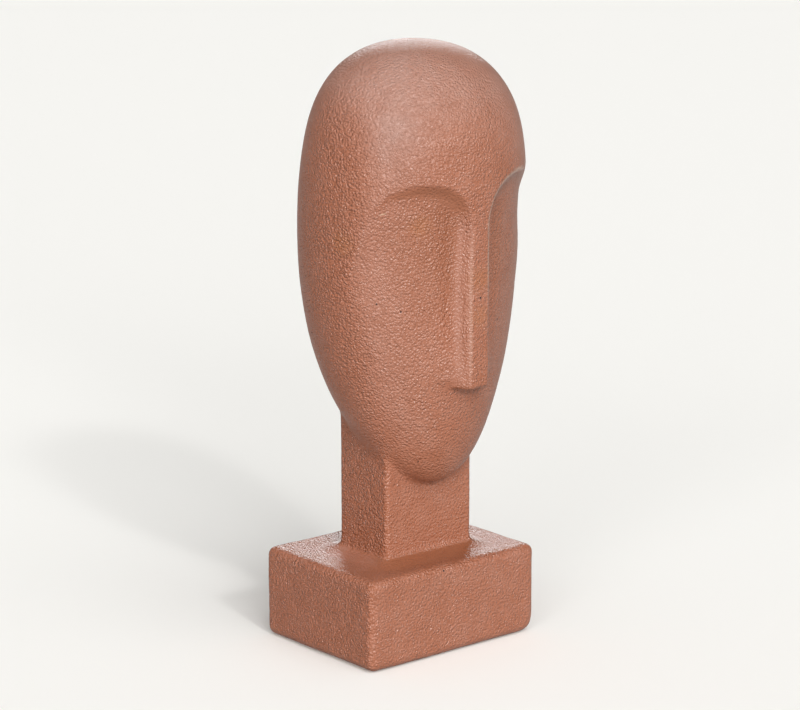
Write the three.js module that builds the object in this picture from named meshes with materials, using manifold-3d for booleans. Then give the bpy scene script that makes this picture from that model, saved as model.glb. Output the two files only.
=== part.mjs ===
// Terracotta head on a square neck and a block plinth, cast as one piece.
// Millimetres, +Z up. The origin is the centre of the plinth's underside, and the face looks along -Y.
import * as THREE from 'three';
import { mergeVertices } from 'three/addons/utils/BufferGeometryUtils.js';
import Module from 'manifold-3d';

const wasm = await Module();
wasm.setup();

// Plinth block
const plinthWidth = 106.6;
const plinthDepth = 83.8;
const plinthHeight = 45.4;
const plinthCornerRadius = 2.6;
const plinthEdgeRadius = 2.4;

// Neck, a rounded oblong post set a little forward of the plinth's middle
const neckWidth = 54.9;
const neckDepth = 36.8;
const neckCentreY = -3.8;
const neckCornerRadius = 2.2;
const neckTop = 132;

// Clay smoothed up against the foot of the neck
const footSpread = 15;
const footRise = 3.3;
const footSteps = 6;

// Head, an egg standing on its small end. Its height runs from -1 at the chin to +1 at the crown.
const chinZ = 83.8;
const crownZ = 300;
const headHalfWidth = 56.6;
const depthToWidth = 0.893;
const fullnessTerms = [1, 0.165, 0.18, 0.14, 0.045];
const centreLineTerms = [-7.0, -3.9, -8.4, 10.7];

// Face, cut back below the brows to a nearly flat plane that turns into the cheeks
const facePlaneY = -50.7;
const faceMiddleZ = 180;
const faceBow = 0.0008;
const faceFlatHalfWidth = 10;
const faceTurnRadius = 50;
const faceTurnRadiusAtBrow = 41;
const faceTurnStartZ = 188;
const faceTurnEndZ = 222;
const browPeakX = 42;
const browPeakZ = 243.2;
const browInnerRadius = 33;
const browOuterRadius = 8;
const browWallSlope = 0.6;
const browHollowBlend = 6;
const browEdgeBlend = 2;
const cheekBlend = 10;
const cheekBlendDrop = 18;
const noseToBrowBlend = 15;

// Nose, a straight bar with slanting sides
const noseHalfWidth = 5.6;
const noseFrontY = -59;
const noseWallSlope = 0.58;
const noseEndZ = 136.5;
const noseTopZ = 232;
const noseRootY = -44;
const noseEdgeRadius = 1.2;

// Fineness of the facets
const headColumns = 68;
const headRows = 54;
const frontCrowding = 0.5;
const browCrowding = 0.4;
const browCrowdingZ = 234;
const cornerSegments = 3;

const terracotta = new THREE.MeshStandardMaterial({ color: 0xb0705a, roughness: 0.6, metalness: 0 });
terracotta.name = 'terracotta';

const headMiddleZ = (crownZ + chinZ) / 2;
const headHalfHeight = (crownZ - chinZ) / 2;

function series(terms, height) {
  return terms.reduceRight((sum, term) => sum * height + term, 0);
}

// The two smallest values run into each other over the blend's length
function smoothMin(a, b, blend) {
  const overlap = Math.max(blend - Math.abs(a - b), 0) / blend;
  return Math.min(a, b) - overlap * overlap * blend * 0.25;
}

function smoothMax(a, b, blend) {
  return -smoothMin(-a, -b, blend);
}

// Distance outside the plain egg, below zero inside it
function eggDistance(x, y, z) {
  const height = (z - headMiddleZ) / headHalfHeight;
  const halfWidth = headHalfWidth * series(fullnessTerms, height);
  const halfDepth = halfWidth * depthToWidth;
  const fromCentre = y - series(centreLineTerms, height);
  const reach = Math.hypot(x / halfWidth, fromCentre / halfDepth, height);
  const steepness = Math.hypot(x / halfWidth ** 2, fromCentre / halfDepth ** 2, height / headHalfHeight);
  return ((reach - 1) * reach) / Math.max(steepness, 1e-6);
}

// Height of the brow's edge above a place on the face
function browHeight(x) {
  const fromPeak = Math.abs(x) - browPeakX;
  const radius = fromPeak > 0 ? browOuterRadius : browInnerRadius;
  return browPeakZ - fromPeak ** 2 / (2 * radius);
}

// Distance outside the head without its nose
function headDistance(x, y, z) {
  const aside = Math.abs(x);
  const turn = Math.max(aside - faceFlatHalfWidth, 0);
  const bow = faceBow * (z - faceMiddleZ) ** 2;
  const climb = THREE.MathUtils.smoothstep(z, faceTurnStartZ, faceTurnEndZ);
  const turnRadius = THREE.MathUtils.lerp(faceTurnRadius, faceTurnRadiusAtBrow, climb);
  const face = facePlaneY - bow + turn ** 2 / (2 * turnRadius) - y;
  const noseWall = (aside - noseHalfWidth - noseWallSlope * (y - noseFrontY)) / Math.hypot(1, noseWallSlope);
  const browWall = (browHeight(x) - browWallSlope * (y - noseFrontY) - z) / Math.hypot(1, browWallSlope);
  const below = THREE.MathUtils.smoothstep(browWall, 0, cheekBlendDrop);
  const edgeBlend = THREE.MathUtils.lerp(browEdgeBlend, cheekBlend, below);
  const hollow = smoothMin(face, smoothMin(noseWall, browWall, noseToBrowBlend), browHollowBlend);
  return smoothMax(eggDistance(x, y, z), hollow, edgeBlend);
}

// Radius of the head around its centre line, found by halving
function headRadius(z, centreY, dirX, dirY) {
  let inner = 0;
  let outer = headHalfWidth * 1.4;
  for (let i = 0; i < 40; i += 1) {
    const middle = (inner + outer) / 2;
    if (headDistance(dirX * middle, centreY + dirY * middle, z) < 0) inner = middle;
    else outer = middle;
  }
  return inner;
}

// A sphere's grid, crowded towards the face and the brows, then moved out onto the head
function headGeometry() {
  const geometry = new THREE.SphereGeometry(1, headColumns, headRows);
  const position = geometry.getAttribute('position');
  const uv = geometry.getAttribute('uv');
  const browTurn = Math.acos((browCrowdingZ - headMiddleZ) / headHalfHeight);
  for (let i = 0; i < position.count; i += 1) {
    const row = Math.round((1 - uv.getY(i)) * headRows);
    if (row === 0 || row === headRows) {
      const height = row === 0 ? 1 : -1;
      position.setXYZ(i, 0, series(centreLineTerms, height), headMiddleZ + headHalfHeight * height);
      continue;
    }
    const down = (Math.PI * row) / headRows;
    const crowd = Math.sin(2 * (down - browTurn)) + Math.sin(2 * browTurn);
    const tilt = down - (browCrowding / 2) * crowd;
    const height = Math.cos(tilt);
    const z = headMiddleZ + headHalfHeight * height;
    const column = Math.round(uv.getX(i) * headColumns) % headColumns;
    const around = (2 * Math.PI * column) / headColumns;
    const bearing = around - frontCrowding * Math.sin(around);
    const centreY = series(centreLineTerms, height);
    const dirX = Math.sin(bearing);
    const dirY = -Math.cos(bearing);
    const radius = headRadius(z, centreY, dirX, dirY);
    position.setXYZ(i, dirX * radius, centreY + dirY * radius, z);
  }
  return geometry;
}

// Oblong outline with round corners, centred on the origin
function roundedOblong(width, depth, radius) {
  const x = width / 2 - radius;
  const y = depth / 2 - radius;
  const outline = new THREE.Shape();
  outline.absarc(x, y, radius, 0, Math.PI / 2);
  outline.absarc(-x, y, radius, Math.PI / 2, Math.PI);
  outline.absarc(-x, -y, radius, Math.PI, 1.5 * Math.PI);
  outline.absarc(x, -y, radius, 1.5 * Math.PI, 2 * Math.PI);
  outline.closePath();
  return outline;
}

function noseGeometry() {
  const rootHalfWidth = noseHalfWidth + noseWallSlope * (noseRootY - noseFrontY);
  const outline = new THREE.Shape();
  outline.moveTo(rootHalfWidth, noseRootY);
  outline.lineTo(-rootHalfWidth, noseRootY);
  outline.lineTo(-noseHalfWidth - noseWallSlope * noseEdgeRadius, noseFrontY + noseEdgeRadius);
  outline.quadraticCurveTo(-noseHalfWidth, noseFrontY, -noseHalfWidth + noseEdgeRadius, noseFrontY);
  outline.lineTo(noseHalfWidth - noseEdgeRadius, noseFrontY);
  outline.quadraticCurveTo(
    noseHalfWidth,
    noseFrontY,
    noseHalfWidth + noseWallSlope * noseEdgeRadius,
    noseFrontY + noseEdgeRadius,
  );
  outline.closePath();
  const settings = { depth: noseTopZ - noseEndZ, bevelEnabled: false, curveSegments: cornerSegments };
  const geometry = new THREE.ExtrudeGeometry(outline, settings);
  geometry.translate(0, 0, noseEndZ);
  return geometry;
}

// The post's lower rings are widened and lowered one by one to make the smoothed foot
function neckGeometry() {
  const outline = roundedOblong(neckWidth, neckDepth, neckCornerRadius);
  const steps = footSteps + 2;
  const settings = { depth: steps, steps, bevelEnabled: false, curveSegments: cornerSegments };
  const geometry = new THREE.ExtrudeGeometry(outline, settings);
  const position = geometry.getAttribute('position');
  const cornerX = neckWidth / 2 - neckCornerRadius;
  const cornerY = neckDepth / 2 - neckCornerRadius;
  for (let i = 0; i < position.count; i += 1) {
    const ring = Math.round(position.getZ(i));
    const climb = THREE.MathUtils.clamp((ring - 1) / footSteps, 0, 1);
    const spread = footSpread * (1 - climb);
    const coreX = THREE.MathUtils.clamp(position.getX(i), -cornerX, cornerX);
    const coreY = THREE.MathUtils.clamp(position.getY(i), -cornerY, cornerY);
    const outX = (position.getX(i) - coreX) / neckCornerRadius;
    const outY = (position.getY(i) - coreY) / neckCornerRadius;
    let z = plinthHeight + footRise * climb ** 2;
    if (ring === 0) z = plinthHeight / 2;
    if (ring === steps) z = neckTop;
    position.setXYZ(i, position.getX(i) + outX * spread, position.getY(i) + outY * spread + neckCentreY, z);
  }
  return geometry;
}

function plinthGeometry() {
  const width = plinthWidth - 2 * plinthEdgeRadius;
  const depth = plinthDepth - 2 * plinthEdgeRadius;
  const settings = {
    depth: plinthHeight - 2 * plinthEdgeRadius,
    bevelThickness: plinthEdgeRadius,
    bevelSize: plinthEdgeRadius,
    bevelSegments: cornerSegments,
    curveSegments: cornerSegments,
  };
  const geometry = new THREE.ExtrudeGeometry(roundedOblong(width, depth, plinthCornerRadius), settings);
  geometry.translate(0, 0, plinthEdgeRadius);
  return geometry;
}

function toSolid(geometry) {
  const bare = geometry.clone();
  bare.deleteAttribute('normal');
  bare.deleteAttribute('uv');
  const merged = mergeVertices(bare, 1e-4);
  const index = Array.from(merged.getIndex().array);
  const kept = [];
  for (let i = 0; i < index.length; i += 3) {
    const [a, b, c] = index.slice(i, i + 3);
    if (a !== b && b !== c && c !== a) kept.push(a, b, c);
  }
  const vertProperties = new Float32Array(merged.getAttribute('position').array);
  return new wasm.Manifold(new wasm.Mesh({ numProp: 3, vertProperties, triVerts: new Uint32Array(kept) }));
}

function toGeometry(solid) {
  const mesh = solid.getMesh();
  const geometry = new THREE.BufferGeometry();
  geometry.setAttribute('position', new THREE.BufferAttribute(new Float32Array(mesh.vertProperties), 3));
  geometry.setIndex(new THREE.BufferAttribute(new Uint32Array(mesh.triVerts), 1));
  geometry.computeVertexNormals();
  return geometry;
}

const casting = [neckGeometry(), headGeometry(), noseGeometry()]
  .map(toSolid)
  .reduce((whole, piece) => whole.add(piece), toSolid(plinthGeometry()));

const sculpture = new THREE.Mesh(toGeometry(casting), terracotta);
sculpture.name = 'face_sculpture';

const model = new THREE.Group();
model.add(sculpture);

export default model;
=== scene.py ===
"""Terracotta head on a square neck and a block plinth, cast as one piece, with its studio."""

import math

import bmesh
import bpy
import numpy as np
from mathutils import Matrix, Vector, noise


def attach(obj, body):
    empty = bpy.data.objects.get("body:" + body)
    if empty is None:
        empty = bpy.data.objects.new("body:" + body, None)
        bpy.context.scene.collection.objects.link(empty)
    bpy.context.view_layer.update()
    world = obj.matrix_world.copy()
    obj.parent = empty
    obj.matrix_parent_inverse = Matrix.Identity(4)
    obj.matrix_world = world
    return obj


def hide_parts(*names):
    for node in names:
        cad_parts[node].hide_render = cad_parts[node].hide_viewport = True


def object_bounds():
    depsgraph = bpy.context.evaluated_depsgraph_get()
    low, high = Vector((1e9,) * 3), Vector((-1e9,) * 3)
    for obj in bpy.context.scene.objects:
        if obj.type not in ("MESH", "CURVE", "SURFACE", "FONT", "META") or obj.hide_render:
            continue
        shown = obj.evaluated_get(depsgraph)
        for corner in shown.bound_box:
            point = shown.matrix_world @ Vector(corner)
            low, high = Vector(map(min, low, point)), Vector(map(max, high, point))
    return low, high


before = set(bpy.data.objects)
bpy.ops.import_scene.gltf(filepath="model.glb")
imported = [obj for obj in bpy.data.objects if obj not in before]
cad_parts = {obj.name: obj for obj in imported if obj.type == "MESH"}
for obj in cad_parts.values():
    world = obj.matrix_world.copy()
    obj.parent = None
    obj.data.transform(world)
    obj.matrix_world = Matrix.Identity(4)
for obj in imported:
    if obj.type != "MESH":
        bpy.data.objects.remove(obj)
cad_low, cad_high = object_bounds()

MM = 0.001

# Sizes are in millimetres from the centre of the plinth's underside: x to the right seen from
# the front, y to the back and z up. Many values are stretches, written (start, end): where one
# thing starts to turn into another, and where it has done so.

# Plinth. Its edges are rounder than those of the CAD part, and one bottom corner is worn.
PLINTH = (106.6, 83.8, 45.4)
PLINTH_CORNER, PLINTH_EDGE = 4.4, 4.2
WORN_CORNER, WORN_EDGE = 3.3, 4.0

# Neck, and the clay that is smoothed up around its foot.
NECK = (54.9, 36.8)
NECK_Y, NECK_CORNER = -3.8, 2.2
NECK_TOP, NECK_LENGTH = 132.0, 100.0
FOOT_SPREAD, FOOT_RISE = 15.0, 3.3
FOOT_FLARE, FLARE_HEIGHT = 1.5, 8.0
FOOT_FILLET, CHIN_FILLET = 1.5, 4.0

# Head: an egg that stands on its small end. Its half width and the line of its centre are
# series in the height, which goes from -1 at the chin to 1 at the crown.
CHIN_Z, CROWN_Z = 83.8, 300.0
MIDDLE_Z = (CHIN_Z + CROWN_Z) / 2
HALF_HEIGHT = (CROWN_Z - CHIN_Z) / 2
HALF_WIDTH, DEPTH_TO_WIDTH = 56.6, 0.893
FULLNESS = (1.0, 0.165, 0.18, 0.14, 0.045)
CENTRE_LINE = (-7.0, -3.9, -8.4, 10.7)
SERIES_END = 1.15

# Face: cut back below the brows, bowed a little, and turning away to the cheeks.
FACE_Y, FACE_MIDDLE_Z, FACE_BOW = -50.7, 180.0, 0.0008
FACE_FLAT, FACE_TURN = 10.0, 50.0
LEFT_TURN_TOP, RIGHT_TURN_TOP, TURN_CHANGES = 48.0, 38.0, (188.0, 222.0)

# Brows: two arches, of which the right one is a little higher and runs out more softly.
BROW_X, BROW_Z, BROW_SLOPE = 42.0, 242.4, 0.6
BROW_INNER, LEFT_BROW_OUTER, RIGHT_BROW_OUTER = 39.0, 4.5, 30.0
RIGHT_BROW_LIFT, ACROSS_NOSE = 2.0, (-10.0, 10.0)
RIGHT_BROW_SOFT, RIGHT_BROW_END = 4.5, (34.0, 46.0)
BROW_EDGE, CHEEK_EDGE, CHEEK_DROP = 1.2, 10.0, 18.0
BROW_FOLD, NOSE_FOLD, NOSE_TO_BROW = 7.0, 5.0, 11.0
FOLD_CHANGES, BROW_FOLD_END = (-8.0, 4.0), (34.0, 44.0)

# Nose: a straight bar with sloping sides. Above the tip the bar has some width to spare,
# which the cut-back face takes away.
NOSE_HALF, NOSE_Y, NOSE_SLOPE = 5.6, -59.0, 0.58
NOSE_END, NOSE_TOP, NOSE_ROOT = 136.5, 232.0, -44.0
NOSE_EDGE, NOSE_END_EDGE, TIP_EDGE = 1.4, 2.0, 0.05
NOSE_SPARE, ABOVE_TIP, BESIDE_NOSE = 1.5, (146.0, 154.0), (1.0, 14.0)
NOSE_FILLET, TIP_FILLET = 2.0, 7.0
TIP_FILLET_STARTS, TIP_FILLET_STOPS = (136.0, 142.0), (160.0, 185.0)


# The form. Its functions give less than 0 inside, and about the distance outside.


def series(terms, height):
    """The terms times rising powers of the height, added up."""
    total = 0.0
    for term in reversed(terms):
        total = total * height + term
    return total


def blend_min(a, b, reach):
    """The smaller of two values, rounded off where they are closer than the reach."""
    overlap = np.maximum(reach - np.abs(a - b), 0.0) / reach
    return np.minimum(a, b) - overlap * overlap * reach / 4.0


def blend_max(a, b, reach):
    """The larger of two values, rounded off in the same way."""
    return -blend_min(-a, -b, reach)


def ease(value, start, end):
    """0 up to the start and 1 from the end on, with a soft rise between."""
    t = np.clip((value - start) / (end - start), 0.0, 1.0)
    return t * t * (3.0 - 2.0 * t)


def fade(value, start, end):
    """1 up to the start and 0 from the end on."""
    return 1.0 - ease(value, start, end)


def mix(a, b, share):
    return a + (b - a) * share


def oblong(x, y, width, depth, radius):
    """Distance outside a rectangle with round corners."""
    out_x = np.abs(x) - width / 2 + radius
    out_y = np.abs(y) - depth / 2 + radius
    corner = np.hypot(np.maximum(out_x, 0.0), np.maximum(out_y, 0.0))
    return corner + np.minimum(np.maximum(out_x, out_y), 0.0) - radius


def egg_form(x, y, z):
    level = (z - MIDDLE_Z) / HALF_HEIGHT
    height = np.clip(level, -SERIES_END, SERIES_END)
    half_width = HALF_WIDTH * series(FULLNESS, height)
    half_depth = half_width * DEPTH_TO_WIDTH
    from_centre = y - series(CENTRE_LINE, height)
    reach = np.sqrt((x / half_width) ** 2 + (from_centre / half_depth) ** 2 + level**2)
    steepness = np.sqrt(
        (x / half_width**2) ** 2 + (from_centre / half_depth**2) ** 2 + (level / HALF_HEIGHT) ** 2
    )
    return (reach - 1.0) * reach / np.maximum(steepness, 1e-6)


def brow_wall(x, y, z):
    """The arched wall that the cut-back face ends at below the brows."""
    from_peak = np.abs(x) - BROW_X
    outer = np.where(x > 0.0, RIGHT_BROW_OUTER, LEFT_BROW_OUTER)
    radius = np.where(from_peak > 0.0, outer, BROW_INNER)
    edge = BROW_Z - from_peak**2 / (2.0 * radius) + RIGHT_BROW_LIFT * ease(x, *ACROSS_NOSE)
    return (edge - BROW_SLOPE * (y - NOSE_Y) - z) / math.hypot(1.0, BROW_SLOPE)


def nose_wall(x, y):
    """The sloping sides of the nose."""
    return (np.abs(x) - NOSE_HALF - NOSE_SLOPE * (y - NOSE_Y)) / math.hypot(1.0, NOSE_SLOPE)


def head_form(x, y, z):
    """The egg with the bar of the nose on it, less what is cut back from the face."""
    side = nose_wall(x, y)
    brow = brow_wall(x, y, z)
    above_tip = ease(z, *ABOVE_TIP)
    bar = blend_max(side - NOSE_SPARE * above_tip, NOSE_Y - y, NOSE_EDGE)
    bar = blend_max(bar, NOSE_END - z, NOSE_END_EDGE)
    bar = np.maximum(bar, np.maximum(z - NOSE_TOP, y - NOSE_ROOT))
    fillet = mix(NOSE_FILLET, TIP_FILLET, ease(z, *TIP_FILLET_STARTS))
    fillet = mix(fillet, NOSE_FILLET, ease(z, *TIP_FILLET_STOPS))
    bulk = blend_min(egg_form(x, y, z), bar, fillet)

    turn = np.maximum(np.abs(x) - FACE_FLAT, 0.0)
    top = np.where(x > 0.0, RIGHT_TURN_TOP, LEFT_TURN_TOP)
    radius = mix(FACE_TURN, top, ease(z, *TURN_CHANGES))
    face = FACE_Y - FACE_BOW * (z - FACE_MIDDLE_Z) ** 2 + turn**2 / (2.0 * radius) - y
    fold = mix(NOSE_FOLD, BROW_FOLD, ease(side - brow, *FOLD_CHANGES))
    fold = mix(fold, NOSE_FOLD, ease(np.abs(x), *BROW_FOLD_END))
    cut_back = blend_min(face, blend_min(side, brow, NOSE_TO_BROW), fold)

    edge = BROW_EDGE + RIGHT_BROW_SOFT * ease(x, *RIGHT_BROW_END)
    edge = mix(edge, CHEEK_EDGE, ease(brow, 0.0, CHEEK_DROP))
    nose_edge = TIP_EDGE + (NOSE_EDGE - TIP_EDGE) * above_tip
    edge = mix(nose_edge, edge, ease(side, *BESIDE_NOSE))
    return blend_max(bulk, cut_back, edge)


def from_neck(x, y):
    """Distance outside the neck's four faces."""
    return oblong(x, y - NECK_Y, *NECK, NECK_CORNER)


def neck_form(x, y, z):
    flare = FOOT_FLARE * np.clip(1.0 - (z - PLINTH[2]) / FLARE_HEIGHT, 0.0, 1.0) ** 2
    return np.maximum(from_neck(x, y) - flare, z - NECK_TOP)


def plinth_form(x, y, z):
    rise = FOOT_RISE * np.clip(1.0 - from_neck(x, y) / FOOT_SPREAD, 0.0, 1.0) ** 2
    lowered = z - rise * np.clip(z / PLINTH[2], 0.0, 1.0)
    side = oblong(x, y, PLINTH[0], PLINTH[1], PLINTH_CORNER) + PLINTH_EDGE
    top = np.abs(lowered - PLINTH[2] / 2) - PLINTH[2] / 2 + PLINTH_EDGE
    corner = np.hypot(np.maximum(side, 0.0), np.maximum(top, 0.0))
    block = corner + np.minimum(np.maximum(side, top), 0.0) - PLINTH_EDGE
    worn = (x - PLINTH[0] / 2 - y - PLINTH[1] / 2 - z) / math.sqrt(3.0) + WORN_CORNER
    return blend_max(block, worn, WORN_EDGE)


def whole_form(x, y, z):
    block = blend_min(plinth_form(x, y, z), neck_form(x, y, z), FOOT_FILLET)
    return blend_min(block, head_form(x, y, z), CHIN_FILLET)


def slope_of(co, step=0.05):
    """Direction in which the form rises fastest, and how fast."""
    rise = np.empty_like(co)
    for axis in range(3):
        ahead, behind = co.copy(), co.copy()
        ahead[:, axis] += step
        behind[:, axis] -= step
        rise[:, axis] = (whole_form(*ahead.T) - whole_form(*behind.T)) / (2.0 * step)
    steep = np.linalg.norm(rise, axis=1)
    return rise / np.maximum(steep, 1e-9)[:, None], steep


def settle(co, rounds, furthest=1.5, least_steep=0.2):
    """Moves points straight onto the form's skin."""
    for _ in range(rounds):
        way, steep = slope_of(co)
        gap = whole_form(*co.T) / np.maximum(steep, least_steep)
        co = co - way * np.clip(gap, -furthest, furthest)[:, None]
    return co


# Mesh of the casting: how finely it is laid, and how it is kept inside the CAD part's box.
VOXEL = 1.23
BLOCK_EDGE_SEGMENTS = 3
HEAD_MERIDIANS, HEAD_RINGS = 160, 120
SEARCH_REACH, SEARCH_ROUNDS = 1.4, 30
BENT = 0.88
EVENING_ROUNDS, EVENING_SHARE = 4, 0.5
BOX_MARGIN, BOX_REACH = 0.35, 3.0
FACING_FLOOR, ON_FLOOR = -0.99, 0.02


def coordinates(mesh):
    co = np.empty(len(mesh.vertices) * 3)
    mesh.vertices.foreach_get("co", co)
    return co.reshape(-1, 3) / MM


def put_back(mesh, co):
    mesh.vertices.foreach_set("co", (co * MM).ravel())
    mesh.update()


def links_of(mesh):
    """The two points that each edge joins."""
    edges = np.empty(len(mesh.edges) * 2, dtype=np.int64)
    mesh.edges.foreach_get("vertices", edges)
    return edges.reshape(-1, 2)


def object_from(bm, name):
    mesh = bpy.data.meshes.new(name)
    bm.to_mesh(mesh)
    bm.free()
    made = bpy.data.objects.new(name, mesh)
    bpy.context.collection.objects.link(made)
    return made


def add_block(bm, size, centre, edge, upright_only=False):
    """A block with all its edges rounded, or only the upright ones."""
    place = Matrix.Translation(Vector(centre) * MM) @ Matrix.Diagonal((*(Vector(size) * MM), 1.0))
    made = bmesh.ops.create_cube(bm, size=1.0, matrix=place)["verts"]
    edges = list(dict.fromkeys(e for v in made for e in v.link_edges))
    if upright_only:
        edges = [e for e in edges if abs(e.verts[0].co.z - e.verts[1].co.z) > MM]
    bmesh.ops.bevel(
        bm,
        geom=edges,
        offset=edge * MM,
        offset_type="OFFSET",
        affect="EDGES",
        segments=BLOCK_EDGE_SEGMENTS,
        profile=0.5,
        material=-1,
    )


def add_head(bm):
    """A ball whose points are moved out along level rays until they meet the head's skin."""
    ball = bmesh.ops.create_uvsphere(
        bm, u_segments=HEAD_MERIDIANS, v_segments=HEAD_RINGS, radius=1.0
    )["verts"]
    unit = np.array([v.co for v in ball])
    z = MIDDLE_Z + HALF_HEIGHT * unit[:, 2]
    centre = series(CENTRE_LINE, unit[:, 2])
    level = np.hypot(unit[:, 0], unit[:, 1])
    way = unit[:, :2] / np.maximum(level, 1e-9)[:, None]
    inner, outer = np.zeros(len(ball)), np.full(len(ball), HALF_WIDTH * SEARCH_REACH)
    for _ in range(SEARCH_ROUNDS):
        middle = (inner + outer) / 2
        inside = head_form(way[:, 0] * middle, centre + way[:, 1] * middle, z) < 0.0
        inner, outer = np.where(inside, middle, inner), np.where(inside, outer, middle)
    for v, x, y, up in zip(ball, way[:, 0] * inner, centre + way[:, 1] * inner, z):
        v.co = Vector((x, y, up)) * MM


def rough_casting():
    """The block, neck and head as plain overlapping shells, remeshed into one closed skin."""
    bm = bmesh.new()
    add_block(bm, PLINTH, (0, 0, PLINTH[2] / 2), PLINTH_EDGE)
    middle = (0, NECK_Y, NECK_TOP - NECK_LENGTH / 2)
    add_block(bm, (*NECK, NECK_LENGTH), middle, NECK_CORNER, upright_only=True)
    add_head(bm)
    casting = object_from(bm, "face_sculpture_skin")
    remesh = casting.modifiers.new("one skin", "REMESH")
    remesh.mode = "VOXEL"
    remesh.voxel_size = VOXEL * MM
    evaluated = casting.evaluated_get(bpy.context.evaluated_depsgraph_get())
    skin = bpy.data.meshes.new_from_object(evaluated)
    casting.modifiers.clear()
    rough, casting.data = casting.data, skin
    bpy.data.meshes.remove(rough)
    return casting


def split_where_bent(mesh):
    """Halves the faces where the form bends sharply, so that the edges stay crisp."""
    edges = links_of(mesh)
    way, _ = slope_of(coordinates(mesh))
    bent = np.einsum("ij,ij->i", way[edges[:, 0]], way[edges[:, 1]]) < BENT
    bm = bmesh.new()
    bm.from_mesh(mesh)
    bm.verts.ensure_lookup_table()
    faces = {f for v in np.unique(edges[bent]) for f in bm.verts[v].link_faces}
    split = sorted({e for f in faces for e in f.edges}, key=lambda e: e.index)
    bmesh.ops.subdivide_edges(bm, edges=split, cuts=1, use_grid_fill=True)
    bm.to_mesh(mesh)
    bm.free()


def evened(co, edges):
    """Points drawn towards the middle of their neighbours, and back onto the form."""
    count = len(co)
    a, b = edges.T
    links = np.bincount(a, minlength=count) + np.bincount(b, minlength=count)
    for _ in range(EVENING_ROUNDS):
        middle = np.empty_like(co)
        for axis in range(3):
            summed = np.bincount(a, co[b, axis], count) + np.bincount(b, co[a, axis], count)
            middle[:, axis] = summed / np.maximum(links, 1)
        co = settle(co + EVENING_SHARE * (middle - co), rounds=2)
    return co


def raised(co, way, height):
    """Points moved out by a height, and drawn in a little close to the CAD part's box."""
    low, high = np.array(cad_low) / MM, np.array(cad_high) / MM
    room = np.minimum(np.abs(co[:, :2] - low[:2]), np.abs(high[:2] - co[:, :2])).min(axis=1)
    room = np.minimum(room, high[2] - co[:, 2])
    drawn_in = BOX_MARGIN * np.exp(-((room / BOX_REACH) ** 2))
    return np.clip(co + way * (height - drawn_in)[:, None], low, high)


def flatten_underside(bm):
    """One flat face in place of the underside's many."""
    bm.normal_update()
    flat = [
        f
        for f in bm.faces
        if f.normal.z < FACING_FLOOR and all(v.co.z < ON_FLOOR * MM for v in f.verts)
    ]
    for v in {v for f in flat for v in f.verts}:
        v.co.z = 0.0
    whole = bmesh.ops.dissolve_faces(bm, faces=flat, use_verts=False)["region"]
    bmesh.ops.triangulate(bm, faces=whole)


# Surface of the casting. "Way" is the direction that the clay faces at a point.
PLINTH_STOPS = 60.0
UNDER_BROWS = (205.0, 215.0)

# Relief: the length and height of its humps, and how much higher they are on the plinth.
SWELL_LENGTH, SWELL_HEIGHT, SWELL_ON_PLINTH = 34.0, 0.22, 0.14
HUMP_LENGTH, HUMP_HEIGHT, HUMP_ON_PLINTH = 15.0, 0.10, 0.10
PEBBLE_LENGTH, PEBBLE_RELIEF = 2.6, 0.05
BEND_LENGTH, BEND_PUSH = 5.0, 1.2
PLINTH_FADES = (46.0, PLINTH_STOPS)
UNDERSIDE_WAY, UNDERSIDE_TOP = (0.9, 0.99), 3.0

# Grain: where it is smoothed, by what share, and where it is coarser or finer than elsewhere.
TOOLED_WAY, TOOLED_REACH, TOOLED_SMOOTH = (0.6, 0.9), (8.0, 16.0), 0.5
NOSE_SKIN, NOSE_STARTS, NOSE_STOPS = (1.0, 2.6), (134.0, 138.0), (205.0, 222.0)
NOSE_FRONT_SMOOTH, NOSE_SIDE_SMOOTH, NOSE_SIDE_WAY = 0.1, 0.35, (-0.95, -0.8)
CROWN_STARTS, CROWN_SMOOTH = (225.0, 262.0), 0.62
CROWN_RIGHT, CROWN_SKEW = (-20.0, 14.0), 0.4
COVE_WAY, COVE_TOP, COVE_SMOOTH = (0.2, 0.45), 245.0, 0.5
LEFT_WAY, LEFT_COARSER = (0.75, 0.97), 0.85
NECK_SKIN, NECK_STARTS, NECK_STOPS = (3.0, 1.0), 50.0, (140.0, 120.0)
NECK_FRONT_WAY, NECK_FINER = -0.8, 0.2

# Painted highlights along edges: how near to the edge, and between which heights.
BROW_HIGHLIGHT, BROW_HIGHLIGHT_END = (0.4, 1.1), 52.0
FAR_HIGHLIGHT, FAR_HIGHLIGHT_STARTS, FAR_HIGHLIGHT_STOPS = (0.7, 1.5), (170.0, 200.0), (212.0, 220.0)
NEAR_HIGHLIGHT, NEAR_HIGHLIGHT_STARTS, NEAR_HIGHLIGHT_STOPS = (0.5, 1.5), (138.0, 150.0), (196.0, 214.0)
FAR_HIGHLIGHT_SHARE, NEAR_HIGHLIGHT_SHARE = 0.7, 0.22

# Painted sheen and highlight: where the clay faces the lights, by the heading and the rise of the
# way that it faces, in degrees.
CROWN_SHEEN, CROWN_SHEEN_RISE = 1.2, (0.0, 38.0)
BAND_SHEEN, BAND_HEADING, BAND_WIDTH, BAND_RISE = 0.45, -46.0, 23.0, (-30.0, -8.0)
SPOT_SHEEN, SPOT_HEADING, SPOT_WIDTH = 1.1, -44.0, 14.0
SPOT_RISE, SPOT_HEIGHT = 14.0, 10.0
RIGHT_SHEEN, RIGHT_HEADING, RIGHT_RISE = 0.35, (5.0, 45.0), (-2.0, 12.0)
CHEEK_SHEEN, CHEEK_HEADING = 0.5, (22.0, 50.0)
BACK_HEADING, BACK_WIDTH = 110.0, 50.0
HEAD_STARTS, HEAD_SKIN = (96.0, 112.0), (-14.0, -9.0)
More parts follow.
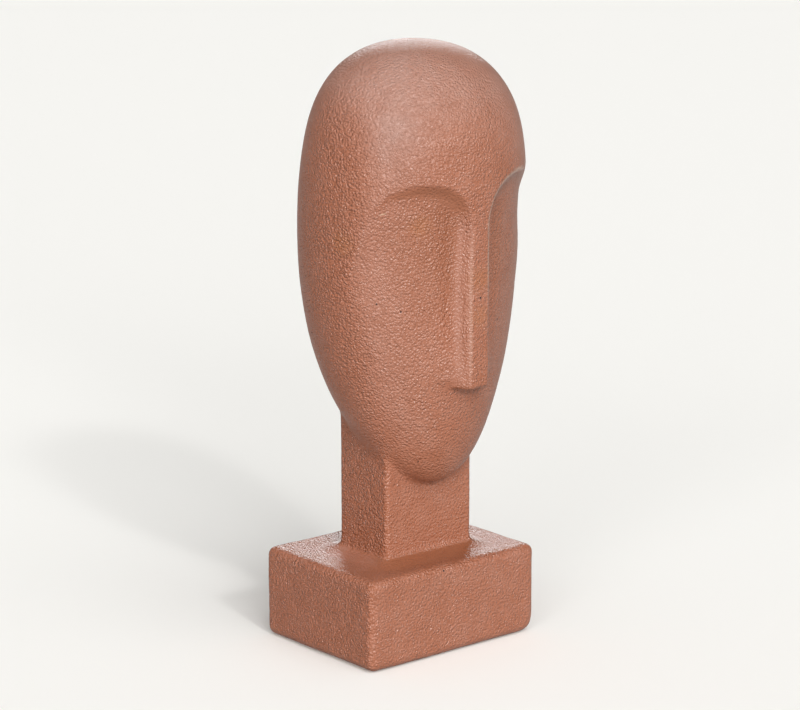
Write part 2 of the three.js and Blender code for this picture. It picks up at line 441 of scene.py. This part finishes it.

# Painted shade: darker clay in the cut-back face, in the cove under its brows and before the
# neck's foot.
CUT_HEADING, CUT_WIDTH, CUT_DEPTH, CUT_STARTS = -10.0, (22.0, 36.0), (1.5, 7.0), (120.0, 150.0)
COVE_SHADE, COVE_SHADE_WAY, COVE_DEPTH = 1.3, (0.15, 0.45), (0.0, 1.0)
FOOT_SHADE, FOOT_SHADE_HALF, FOOT_SHADE_Y = 1.6, 24.0, -25.0
FOOT_SHADE_REACH, FOOT_SHADE_WAY = (3.0, 17.0), (0.5, 0.9)

# Pinholes of the casting. The strewn ones are all behind and above the floor.
PINHOLES = (
    (-44.3, -34.6, 180.3),
    (-35.0, -41.6, 175.5),
    (-0.3, -59.0, 180.8),
    (19.6, -48.4, 165.7),
    (-17.8, -33.9, 98.1),
    (-7.1, -41.8, 43.8),
)
STREWN_PINHOLES, STREWN_SEED = 8, 7
STREWN_FROM_Y, STREWN_FROM_Z = 6.0, 4.0
PINHOLE_RIM, PINHOLE_WALL, PINHOLE_DEPTH = 0.14, 0.05, 0.5


def field(co, length, seed):
    """Soft seeded noise from about -1 to 1, whose humps are about as long as given."""
    shifted = co * (1.0 / length) + seed * np.array((17.3, 5.1, 9.7))
    return np.array([noise.noise(Vector(p)) for p in shifted])


def relief(co, way, grain):
    """Height of the hand-made unevenness and of the coarse grain."""
    z = co[:, 2]
    under = ease(-way[:, 2], *UNDERSIDE_WAY) * (z < UNDERSIDE_TOP)
    plinth = fade(z, *PLINTH_FADES)
    swells = (SWELL_HEIGHT + SWELL_ON_PLINTH * plinth) * field(co, SWELL_LENGTH, seed=1)
    humps = (HUMP_HEIGHT + HUMP_ON_PLINTH * plinth) * field(co, HUMP_LENGTH, seed=2)
    push = np.stack([field(co, BEND_LENGTH, seed) for seed in (3, 5, 6)], axis=1)
    pebbles = field(co + BEND_PUSH * push, PEBBLE_LENGTH, seed=4)
    return (swells + humps + PEBBLE_RELIEF * grain**2 * pebbles) * (1.0 - under)


def graininess(co, way):
    """How strong the fine grain is: less on the nose, the tooled foot and the crown's right."""
    x, y, z = co.T
    off_neck = from_neck(x, y)
    tooled = ease(way[:, 2], *TOOLED_WAY) * fade(off_neck, *TOOLED_REACH) * (z < PLINTH_STOPS)
    off_nose = np.abs(np.maximum(nose_wall(x, y), NOSE_Y - y))
    on_nose = fade(off_nose, *NOSE_SKIN) * ease(z, *NOSE_STARTS)
    on_nose = on_nose * fade(z, *NOSE_STOPS) * (y < NOSE_ROOT)
    on_nose = on_nose * (NOSE_FRONT_SMOOTH + NOSE_SIDE_SMOOTH * ease(way[:, 1], *NOSE_SIDE_WAY))
    crown = ease(z, *CROWN_STARTS) * ease(x + CROWN_SKEW * y, *CROWN_RIGHT)
    cove = ease(-way[:, 2], *COVE_WAY) * ease(z, *UNDER_BROWS) * (z < COVE_TOP) * (y < 0.0)
    smooth = np.maximum(TOOLED_SMOOTH * tooled, on_nose)
    smooth = np.maximum(smooth, np.maximum(CROWN_SMOOTH * crown, COVE_SMOOTH * cove))
    neck = ease(off_neck, *NECK_SKIN) * (z > NECK_STARTS) * ease(z, *NECK_STOPS)
    neck = neck * (way[:, 1] < NECK_FRONT_WAY)
    left = ease(-way[:, 0], *LEFT_WAY) * (x < 0.0)
    # Values over 1, on the left-facing side only, also set where shade is painted into the clay's
    # colour.
    return (1.0 - smooth) * (1.0 + LEFT_COARSER * left - NECK_FINER * neck)


def painted_edge_highlight(co):
    """Painted highlights: where the right brow's edge and the nose's long edges are painted pale.
    """
    x, y, z = co.T
    off_egg = np.abs(egg_form(x, y, z))
    off_wall = np.abs(blend_min(nose_wall(x, y), brow_wall(x, y, z), NOSE_TO_BROW))
    brow = fade(off_egg, *BROW_HIGHLIGHT) * fade(off_wall, *BROW_HIGHLIGHT) * ease(z, *UNDER_BROWS)
    far = fade(np.hypot(x - NOSE_HALF, y - NOSE_Y), *FAR_HIGHLIGHT)
    far = far * ease(z, *FAR_HIGHLIGHT_STARTS) * fade(z, *FAR_HIGHLIGHT_STOPS)
    near = fade(np.hypot(x + NOSE_HALF, y - NOSE_Y), *NEAR_HIGHLIGHT)
    near = near * ease(z, *NEAR_HIGHLIGHT_STARTS) * fade(z, *NEAR_HIGHLIGHT_STOPS)
    right = np.maximum(brow, FAR_HIGHLIGHT_SHARE * far) * (x > 0.0) * (x < BROW_HIGHLIGHT_END)
    return right + NEAR_HIGHLIGHT_SHARE * near


def heading_of(way):
    """Where the clay faces seen from above, in degrees: 0 in front and 90 at the right."""
    return np.degrees(np.arctan2(way[:, 0], -way[:, 1]))


def bell(value, middle, width):
    """How far a value is from the middle, squared, for a bell curve's exponent."""
    return ((value - middle) / width) ** 2


def painted_sheen(co, way):
    """Painted sheen and highlight on the head: its crown and right, a spot on the brow and a band
    on the left, placed where the clay faces the lights.
    """
    heading = heading_of(way)
    rise = np.degrees(np.arcsin(np.clip(way[:, 2], -1.0, 1.0)))
    band = BAND_SHEEN * np.exp(-bell(heading, BAND_HEADING, BAND_WIDTH)) * ease(rise, *BAND_RISE)
    spot = bell(heading, SPOT_HEADING, SPOT_WIDTH) + bell(rise, SPOT_RISE, SPOT_HEIGHT)
    right = RIGHT_SHEEN * ease(heading, *RIGHT_HEADING) * ease(rise, *RIGHT_RISE)
    right = right + CHEEK_SHEEN * ease(heading, *CHEEK_HEADING)
    right = right * ease(BACK_HEADING - heading, 0.0, BACK_WIDTH)
    sheen_amount = np.maximum(band, right) + CROWN_SHEEN * ease(rise, *CROWN_SHEEN_RISE)
    on_head = ease(co[:, 2], *HEAD_STARTS) * ease(egg_form(*co.T), *HEAD_SKIN)
    return (sheen_amount + SPOT_SHEEN * np.exp(-spot)) * on_head


def painted_hollow_shade(co, way):
    """Painted shade: where the cut-back face, the cove under its brows and the clay before the
    neck's foot are painted darker than the rest.
    """
    x, y, z = co.T
    depth = -egg_form(x, y, z)
    face = ease(depth, *CUT_DEPTH) * fade(np.abs(heading_of(way) - CUT_HEADING), *CUT_WIDTH)
    cove = ease(-way[:, 2], *COVE_SHADE_WAY) * ease(z, *UNDER_BROWS) * ease(depth, *COVE_DEPTH)
    face = np.maximum(face, COVE_SHADE * cove) * ease(z, *CUT_STARTS) * (y < 0.0)
    off_foot = np.hypot(np.maximum(np.abs(x) - FOOT_SHADE_HALF, 0.0), y - FOOT_SHADE_Y)
    foot = fade(off_foot, *FOOT_SHADE_REACH) * ease(way[:, 2], *FOOT_SHADE_WAY)
    return np.maximum(face, FOOT_SHADE * foot * (z < PLINTH_STOPS))


def pierce(bm, pit):
    """Pinholes: a small face drawn inwards at each place, with its points marked for the painted
    shade inside.
    """
    faces = list(bm.faces)
    middles = np.array([f.calc_center_median() for f in faces]) / MM
    dice = np.random.default_rng(STREWN_SEED)
    chosen = {int(np.argmin(np.linalg.norm(middles - place, axis=1))) for place in PINHOLES}
    behind = (middles[:, 2] > STREWN_FROM_Z) & (middles[:, 1] > STREWN_FROM_Y)
    chosen.update(int(k) for k in dice.choice(np.flatnonzero(behind), STREWN_PINHOLES))
    for face in [faces[index] for index in sorted(chosen)]:
        rim = PINHOLE_RIM * math.sqrt(face.calc_area())
        for thickness, depth in ((rim, 0.0), (PINHOLE_WALL * MM, -PINHOLE_DEPTH * MM)):
            bmesh.ops.inset_individual(
                bm, faces=[face], thickness=thickness, depth=depth, use_even_offset=True
            )
            for v in face.verts:
                v[pit] = 1.0


def build_casting():
    casting = rough_casting()
    mesh = casting.data
    put_back(mesh, settle(coordinates(mesh), rounds=3))
    split_where_bent(mesh)
    co = evened(settle(coordinates(mesh), rounds=2), links_of(mesh))
    way, _ = slope_of(co)
    grain = graininess(co, way)
    put_back(mesh, raised(co, way, relief(co, way, grain)))
    # Masks kept on the points: the grain, and where highlights, sheen and shade are painted.
    tones = (
        ("grain", grain),
        ("edge_highlight", painted_edge_highlight(co)),
        ("pale", painted_sheen(co, way)),
        ("hollow", painted_hollow_shade(co, way)),
    )
    for name, values in tones:
        attribute = mesh.attributes.new(name, "FLOAT", "POINT")
        attribute.data.foreach_set("value", values)
    bm = bmesh.new()
    bm.from_mesh(mesh)
    pierce(bm, bm.verts.layers.float.new("pit"))
    flatten_underside(bm)
    bm.to_mesh(mesh)
    bm.free()
    mesh.shade_smooth()
    return casting


# Clay: its mottled ground, and the tones that lie over it with their greatest shares, among them
# painted sheen, painted shade and painted highlights.
CLAY = (
    (0.32, (0.345, 0.117, 0.058)),
    (0.50, (0.365, 0.129, 0.068)),
    (0.68, (0.380, 0.144, 0.082)),
)
MOTTLE_SIZE = 11.0
# Painted sheen: paler clay where the head faces the lights, made uneven by noise.
SHEEN_CLAY, SHEEN_PATCH_SIZE, SHEEN_BASE, SHEEN_UNEVENNESS = (0.43, 0.268, 0.222), 6.0, 0.20, 0.24
# Painted shade: deeper, darker clay on the left-facing side, away from the lights.
LEFT_SHADE_CLAY, LEFT_SHADE_SHARE = (0.375, 0.118, 0.053), 0.6
# Painted shade in the cut-back face, under the brows and before the neck's foot.
SHADED_CLAY, SHADED_SHARE = (0.30, 0.103, 0.048), 0.6
WARM_CLAY, WARM_SHARE = (0.375, 0.135, 0.052), 0.5
NICKED_CLAY, NICKED_SHARE = (0.62, 0.42, 0.28), 0.5
# Painted highlight along the brow and nose edges.
EDGE_HIGHLIGHT_CLAY, EDGE_HIGHLIGHT_SHARE = (0.62, 0.45, 0.36), 0.6
# Painted shade inside the pinholes.
PINHOLE_SHADE_CLAY, PINHOLE_SHADE_SHARE = (0.03, 0.012, 0.008), 0.95

# Warm patches, each with its middle and radius, and a nick with its ends and half width.
WARM_PATCHES = (
    ((-28.4, -47.9, 216.7), 8.0),
    ((-55.1, -22.8, 208.2), 9.0),
    ((-0.5, -59.0, 190.0), 9.0),
    ((-0.5, -59.0, 172.0), 8.0),
)
PATCH_CORE = 0.2
NICK = ((-45.7, -38.4, 222.7), (-42.6, -40.8, 223.8), 0.45)
NICK_FADES = (0.3, 1.2)

# Fine grain: round bumps whose places are pushed about a little, with ripples on them.
BUMP_SIZE, BUMP_HEIGHT, BUMP_SOFTNESS = 1.15, 0.78, 0.35
BUMP_PUSH_SIZE, BUMP_PUSH = 2.0, 0.6
RIPPLE_SIZE, RIPPLE_HEIGHT = 0.8, 0.36

# Finish: a dull body under a thin, glossier skin, both a little duller where the sheen is painted
# on.
CLAY_IOR = 1.45
ROUGHNESS, ROUGHNESS_UNEVENNESS, ROUGHNESS_SIZE, SHEEN_ROUGHER = 0.35, 0.16, 5.0, 0.05
SKIN_GLOSS, SKIN_ROUGHNESS, SHEEN_DULLER = 0.46, 0.18, -0.10

# Floor: pale paper. It throws less light back than it shows, as a small table top would.
FLOOR_COLOUR, FLOOR_BOUNCE = (0.93, 0.92, 0.885), (0.52, 0.51, 0.49)
FLOOR_ROUGHNESS = 0.9


def new_material(name):
    made = bpy.data.materials.new(name)
    made.use_nodes = True
    tree = made.node_tree
    tree.nodes.clear()
    output = tree.nodes.new("ShaderNodeOutputMaterial")
    shader = tree.nodes.new("ShaderNodeBsdfPrincipled")
    tree.links.new(shader.outputs["BSDF"], output.inputs["Surface"])
    return made, tree, shader


def fill_inputs(tree, node, values):
    """Sets a node's inputs in turn, or links them where the value is another node's output."""
    for socket, value in zip(node.inputs, values):
        if isinstance(value, bpy.types.NodeSocket):
            tree.links.new(value, socket)
        else:
            socket.default_value = value


def calculate(tree, operation, *values):
    node = tree.nodes.new("ShaderNodeMath")
    node.operation = operation
    fill_inputs(tree, node, values)
    return node.outputs["Value"]


def vector_maths(tree, operation, *values, result="Vector"):
    node = tree.nodes.new("ShaderNodeVectorMath")
    node.operation = operation
    fill_inputs(tree, node, values)
    return node.outputs[result]


def attribute_of(tree, name):
    node = tree.nodes.new("ShaderNodeAttribute")
    node.attribute_name = name
    return node.outputs["Fac"]


def noise_texture(tree, where, size, detail=2.0, roughness=0.5, distortion=0.0, result="Fac"):
    node = tree.nodes.new("ShaderNodeTexNoise")
    node.inputs["Scale"].default_value = 1.0 / (size * MM)
    node.inputs["Detail"].default_value = detail
    node.inputs["Roughness"].default_value = roughness
    node.inputs["Distortion"].default_value = distortion
    tree.links.new(where, node.inputs["Vector"])
    return node.outputs[result]


def warped(tree, where, size, push):
    """Coordinates pushed about by soft noise, so that a pattern on them loses its evenness."""
    pushes = noise_texture(tree, where, size, detail=0.0, result="Color")
    centred = vector_maths(tree, "SUBTRACT", pushes, (0.5, 0.5, 0.5))
    return vector_maths(tree, "MULTIPLY_ADD", centred, (push * MM,) * 3, where)


def bump_texture(tree, where, size):
    """Low round bumps with creases between them: 1 at a bump's middle and less at its edge."""
    node = tree.nodes.new("ShaderNodeTexVoronoi")
    node.feature = "SMOOTH_F1"
    node.inputs["Scale"].default_value = 1.0 / (size * MM)
    node.inputs["Smoothness"].default_value = BUMP_SOFTNESS
    tree.links.new(where, node.inputs["Vector"])
    return calculate(tree, "SUBTRACT", 1.0, node.outputs["Distance"])


def ramp(tree, value, stops):
    node = tree.nodes.new("ShaderNodeValToRGB")
    marks = node.color_ramp.elements
    while len(marks) < len(stops):
        marks.new(0.5)
    for mark, (position, colour) in zip(marks, stops):
        mark.position = position
        mark.color = (*colour, 1.0)
    tree.links.new(value, node.inputs["Fac"])
    return node.outputs["Color"]


def blend_colour(tree, amount, colour, tone):
    """The colour where the amount is 0, and the tone where it is 1."""
    node = tree.nodes.new("ShaderNodeMix")
    node.data_type = "RGBA"
    tree.links.new(amount, node.inputs["Factor"])
    tree.links.new(colour, node.inputs["A"])
    node.inputs["B"].default_value = (*tone, 1.0)
    return node.outputs["Result"]


def tinted(tree, colour, strength, tone, share):
    """The colour, taken towards a tone by the share where the strength is 1."""
    return blend_colour(tree, calculate(tree, "MULTIPLY", strength, share), colour, tone)


def faded(tree, value, start, end):
    """1 up to the start, easing to 0 at the end."""
    node = tree.nodes.new("ShaderNodeMapRange")
    node.interpolation_type = "SMOOTHSTEP"
    node.inputs["From Min"].default_value = start
    node.inputs["From Max"].default_value = end
    node.inputs["To Min"].default_value = 1.0
    node.inputs["To Max"].default_value = 0.0
    tree.links.new(value, node.inputs["Value"])
    return node.outputs["Result"]


def patch(tree, where, centre, reach):
    """A soft round patch about a place on the casting."""
    moved = vector_maths(tree, "SUBTRACT", where, Vector(centre) * MM)
    away = vector_maths(tree, "LENGTH", moved, result="Value")
    return faded(tree, away, PATCH_CORE * reach * MM, reach * MM)


def streak(tree, where, start, end, half_width):
    """A short straight mark from one place on the casting to another."""
    start, end = Vector(start) * MM, Vector(end) * MM
    half = (end - start) / 2
    axis = half.normalized() / half.length
    moved = vector_maths(tree, "SUBTRACT", where, (start + end) / 2)
    along = vector_maths(tree, "DOT_PRODUCT", moved, axis, result="Value")
    along = calculate(tree, "MULTIPLY", along, along)
    squared = vector_maths(tree, "DOT_PRODUCT", moved, moved, result="Value")
    aside = calculate(tree, "MULTIPLY_ADD", along, -(half.length**2), squared)
    aside = calculate(tree, "MULTIPLY_ADD", aside, 1.0 / (half_width * MM) ** 2, along)
    return faded(tree, aside, *NICK_FADES)


def clay_bump(tree, where, grain):
    """The grain that is too fine for the mesh."""
    bent = warped(tree, where, BUMP_PUSH_SIZE, BUMP_PUSH)
    height = calculate(tree, "MULTIPLY", bump_texture(tree, bent, BUMP_SIZE), BUMP_HEIGHT)
    ripples = noise_texture(tree, where, RIPPLE_SIZE, detail=1.0, distortion=0.4)
    height = calculate(tree, "MULTIPLY_ADD", ripples, RIPPLE_HEIGHT, height)
    height = calculate(tree, "MULTIPLY", height, grain)
    bump = tree.nodes.new("ShaderNodeBump")
    bump.inputs["Strength"].default_value = 1.0
    bump.inputs["Distance"].default_value = MM
    tree.links.new(height, bump.inputs["Height"])
    return bump.outputs["Normal"]


def clay_colour(tree, where, grain, pale):
    """Mottled clay, warmer in places and with a nick, under painted sheen; painted shade on the
    left-facing side, in the cut-back face, under the brows, before the neck's foot and in the
    pinholes; painted highlights along the brow and nose edges.
    """
    mottle = noise_texture(tree, where, MOTTLE_SIZE, detail=3.0, roughness=0.55)
    colour = ramp(tree, mottle, CLAY)
    # Painted sheen: the clay taken paler where the head faces the lights.
    sheen_share = noise_texture(tree, where, SHEEN_PATCH_SIZE)
    sheen_share = calculate(tree, "MULTIPLY_ADD", sheen_share, SHEEN_UNEVENNESS, SHEEN_BASE)
    colour = blend_colour(tree, calculate(tree, "MULTIPLY", sheen_share, pale), colour, SHEEN_CLAY)
    # Painted shade: where the grain is over 1, which is only where the clay faces left, the clay
    # turns deeper and darker.
    left_shade = calculate(tree, "MULTIPLY_ADD", grain, LEFT_SHADE_SHARE, -LEFT_SHADE_SHARE)
    colour = blend_colour(tree, left_shade, colour, LEFT_SHADE_CLAY)
    # Painted shade in the cut-back face, the cove under the brows and before the neck's foot.
    colour = tinted(tree, colour, attribute_of(tree, "hollow"), SHADED_CLAY, SHADED_SHARE)
    for centre, reach in WARM_PATCHES:
        warm = patch(tree, where, centre, reach)
        colour = tinted(tree, colour, warm, WARM_CLAY, WARM_SHARE)
    colour = tinted(tree, colour, streak(tree, where, *NICK), NICKED_CLAY, NICKED_SHARE)
    # Painted highlights along the right brow's edge and the nose's long edges.
    colour = tinted(tree, colour, attribute_of(tree, "edge_highlight"), EDGE_HIGHLIGHT_CLAY, EDGE_HIGHLIGHT_SHARE)
    # Painted shade inside the pinholes.
    return tinted(tree, colour, attribute_of(tree, "pit"), PINHOLE_SHADE_CLAY, PINHOLE_SHADE_SHARE)


def terracotta_material():
    made, tree, shader = new_material("terracotta")
    where = tree.nodes.new("ShaderNodeTexCoord").outputs["Object"]
    grain, pale = attribute_of(tree, "grain"), attribute_of(tree, "pale")
    rough = noise_texture(tree, where, ROUGHNESS_SIZE)
    rough = calculate(tree, "MULTIPLY_ADD", rough, ROUGHNESS_UNEVENNESS, ROUGHNESS)
    bump = clay_bump(tree, where, grain)
    linked = (
        ("Base Color", clay_colour(tree, where, grain, pale)),
        # The painted sheen's mask also makes the body rougher and the glossy skin thinner.
        ("Roughness", calculate(tree, "MULTIPLY_ADD", pale, SHEEN_ROUGHER, rough)),
        ("Coat Weight", calculate(tree, "MULTIPLY_ADD", pale, SHEEN_DULLER, SKIN_GLOSS)),
        ("Normal", bump),
        ("Coat Normal", bump),
    )
    for name, value in linked:
        tree.links.new(value, shader.inputs[name])
    shader.inputs["IOR"].default_value = CLAY_IOR
    shader.inputs["Coat Roughness"].default_value = SKIN_ROUGHNESS
    return made


def floor_material():
    made, tree, shader = new_material("pale floor")
    seen = tree.nodes.new("ShaderNodeLightPath").outputs["Is Camera Ray"]
    colour = ramp(tree, seen, ((0.0, FLOOR_BOUNCE), (1.0, FLOOR_COLOUR)))
    tree.links.new(colour, shader.inputs["Base Color"])
    shader.inputs["Roughness"].default_value = FLOOR_ROUGHNESS
    return made


# Studio. The floor's size and drop and the camera's range are in metres.
FLOOR_HALF, FLOOR_DROP = 12.0, 0.0002

# Camera: the photograph's viewpoint, solved from the plinth's edges. Its turn and tilt are in
# degrees, and its place is so many millimetres back, right and up along its own axes.
CAMERA_TURN, CAMERA_TILT = -40.018, 12.755
CAMERA_BACK, CAMERA_RIGHT, CAMERA_UP = 1388.1, -0.322, 139.3
SENSOR_WIDTH, FOCAL_PIXELS, PHOTO_PIXELS = 36.0, 2751.0, 800.0
CAMERA_RANGE = (0.05, 60.0)

# Lights: name, azimuth, elevation and spread in degrees, and strength. Azimuth 0 comes from
# the front and 90 from the right. Some light only the casting, and the others only the floor.
CASTING_LIGHTS = (
    ("key light", -15.0, 29.0, 12.0, 0.40),
    ("key light's core", -15.0, 29.0, 3.5, 0.62),
    ("key light's halo", -15.0, 29.0, 26.0, 0.22),
    ("low left light", -60.0, 9.0, 18.0, 1.0),
    ("low front light", -12.0, 7.0, 16.0, 0.12),
    ("light by the camera", -37.0, 26.0, 20.0, 1.16),
    ("high front light", -24.0, 48.0, 24.0, 0.86),
    ("right light", 64.0, 18.0, 30.0, 0.58),
    ("top light", 0.0, 82.0, 24.0, 0.2),
    ("high back light", 168.0, 52.0, 40.0, 0.6),
    ("left back light", -124.0, 10.0, 9.0, 0.42),
    ("low back light", 139.0, 12.0, 20.0, 0.46),
)
FLOOR_LIGHTS = (
    ("floor's key light", -12.5, 33.0, 12.0, 0.33),
    ("floor's key core", -12.5, 33.0, 4.0, 0.43),
    ("floor's left light", -60.0, 20.0, 30.0, 0.95),
    ("floor's front light", -30.0, 14.0, 26.0, 2.0),
    ("floor's high light", 0.0, 60.0, 40.0, 0.81),
    ("floor's sky", 0.0, 86.0, 150.0, 1.28),
)
LIGHT_DISTANCE = 2.0


def make_floor():
    bm = bmesh.new()
    bmesh.ops.create_grid(bm, x_segments=1, y_segments=1, size=FLOOR_HALF)
    bmesh.ops.translate(bm, verts=bm.verts, vec=(0.0, 0.0, -FLOOR_DROP))
    floor = object_from(bm, "floor")
    floor.data.materials.append(floor_material())
    return floor


def make_camera():
    turn, tilt = math.radians(CAMERA_TURN), math.radians(CAMERA_TILT)
    back = Vector(
        (math.sin(turn) * math.cos(tilt), -math.cos(turn) * math.cos(tilt), math.sin(tilt))
    )
    right = Vector((math.cos(turn), math.sin(turn), 0.0))
    up = back.cross(right)
    data = bpy.data.cameras.new("camera")
    data.sensor_width = SENSOR_WIDTH
    data.lens = SENSOR_WIDTH * FOCAL_PIXELS / PHOTO_PIXELS
    data.clip_start, data.clip_end = CAMERA_RANGE
    camera = bpy.data.objects.new("camera", data)
    place = Matrix.Translation((CAMERA_BACK * back + CAMERA_RIGHT * right + CAMERA_UP * up) * MM)
    camera.matrix_world = place @ Matrix((right, up, back)).transposed().to_4x4()
    bpy.context.collection.objects.link(camera)
    bpy.context.scene.camera = camera


def make_dark_world():
    """The surroundings give no light of their own."""
    world = bpy.data.worlds.new("studio")
    bpy.context.scene.world = world
    world.use_nodes = True
    world.node_tree.nodes["Background"].inputs["Strength"].default_value = 0.0


def add_sun(name, azimuth, elevation, spread, strength, only):
    """Soft light from far away, which falls on one object."""
    data = bpy.data.lights.new(name, "SUN")
    data.energy = strength
    data.angle = math.radians(spread)
    light = bpy.data.objects.new(name, data)
    a, e = math.radians(azimuth), math.radians(elevation)
    towards = Vector((math.sin(a) * math.cos(e), -math.cos(a) * math.cos(e), math.sin(e)))
    light.rotation_mode = "QUATERNION"
    light.rotation_quaternion = towards.to_track_quat("Z", "Y")
    light.location = towards * LIGHT_DISTANCE
    bpy.context.collection.objects.link(light)
    lit = bpy.data.collections.new("lit by the " + name)
    lit.objects.link(only)
    light.light_linking.receiver_collection = lit


casting = build_casting()
casting.data.materials.append(terracotta_material())
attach(casting, "root")
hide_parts("face_sculpture")

floor = make_floor()
make_camera()
make_dark_world()
for lights, lit in ((CASTING_LIGHTS, casting), (FLOOR_LIGHTS, floor)):
    for light in lights:
        add_sun(*light, lit)
bpy.context.scene.view_settings.view_transform = "Standard"
